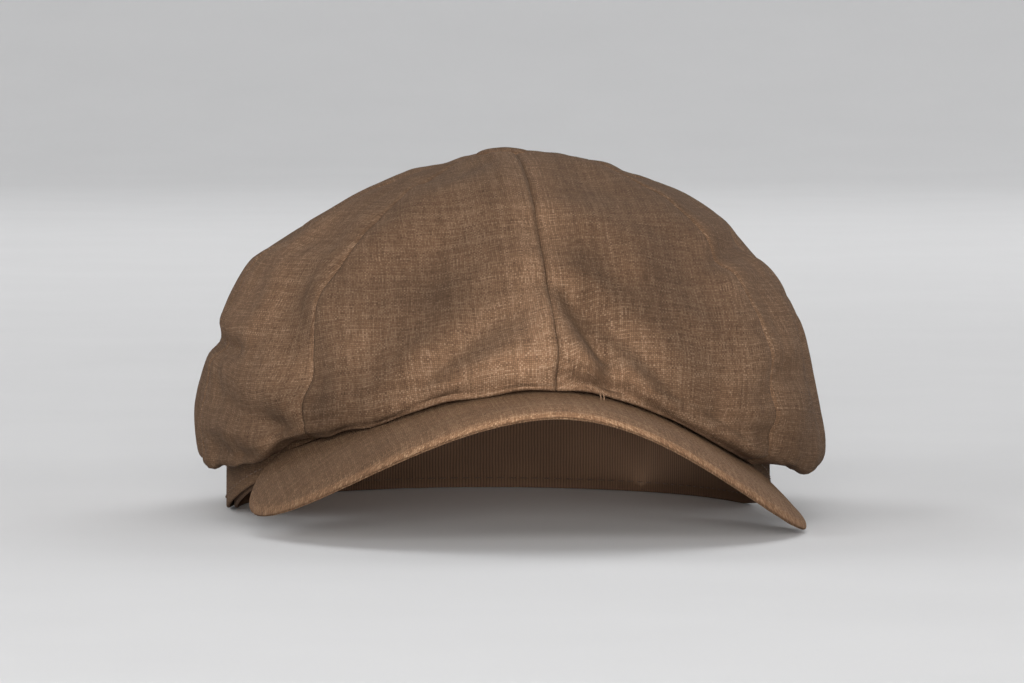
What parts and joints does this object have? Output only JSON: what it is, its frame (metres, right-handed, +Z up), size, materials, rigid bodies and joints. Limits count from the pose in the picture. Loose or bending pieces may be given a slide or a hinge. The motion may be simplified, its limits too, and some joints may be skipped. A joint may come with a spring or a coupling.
{
  "type": "newsboy cap",
  "caption": "Soft linen newsboy cap: gored crown sewn down on a stiffened arched visor, covered top button, head band, sweatband and lining.",
  "frame": {"origin": "middle of the head opening, in the plane the cap rests on when it is set down on a table", "axes": "+Z up through the crown, -Y towards the visor, +X towards the wearer's left"},
  "size_m": [0.1952, 0.2743, 0.1141],
  "materials": {
    "crown_linen": "plain-weave mid-brown linen with slubs, matt with a faint sheen",
    "band_linen": "the same linen, cut along the grain",
    "visor_linen": "the same linen, pressed flat over the visor board",
    "lining_cotton": "dark brown twill lining, faintly glossy",
    "sweatband_cotton": "dark brown ribbed cotton band",
    "stiffener_canvas": "unbleached stiff canvas",
    "visor_board": "off-white polyethylene board",
    "button_metal": "plain pressed steel"
  },
  "bodies": {
    "cap": {"panel_front_left": "crown_linen", "panel_front_right": "crown_linen", "panel_side_front_left": "crown_linen", "panel_side_front_right": "crown_linen", "panel_side_rear_left": "crown_linen", "panel_side_rear_right": "crown_linen", "panel_back_left": "crown_linen", "panel_back_right": "crown_linen", "lining_front_left": "lining_cotton", "lining_front_right": "lining_cotton", "lining_side_front_left": "lining_cotton", "lining_side_front_right": "lining_cotton", "lining_side_rear_left": "lining_cotton", "lining_side_rear_right": "lining_cotton", "lining_back_left": "lining_cotton", "lining_back_right": "lining_cotton", "outer_band": "band_linen", "band_stiffener": "stiffener_canvas", "sweatband": "sweatband_cotton", "button_patch": "lining_cotton"},
    "visor": {"visor_top_cover": "visor_linen", "visor_board": "visor_board", "visor_under_cover": "visor_linen"},
    "button": {"button_cloth_cover": "crown_linen", "button_shell": "button_metal", "button_back_plate": "button_metal", "button_tack": "button_metal", "button_washer": "button_metal"}
  },
  "joints": [
    {"name": "visor_flex", "type": "hinge", "parent": "cap", "child": "visor", "pos_m": [0, -0.047, 0.053], "axis": [-1, 0, 0], "range_deg": [-4, 8], "stiffness_Nm_per_rad": 1.2, "deforming": ["panel_front_left", "panel_front_right", "panel_side_front_left", "panel_side_front_right"]},
    {"name": "button_swivel", "type": "hinge", "parent": "cap", "child": "button", "pos_m": [0, -0.018, 0.1103], "axis": [0, 0, 1], "continuous": true}
  ]
}
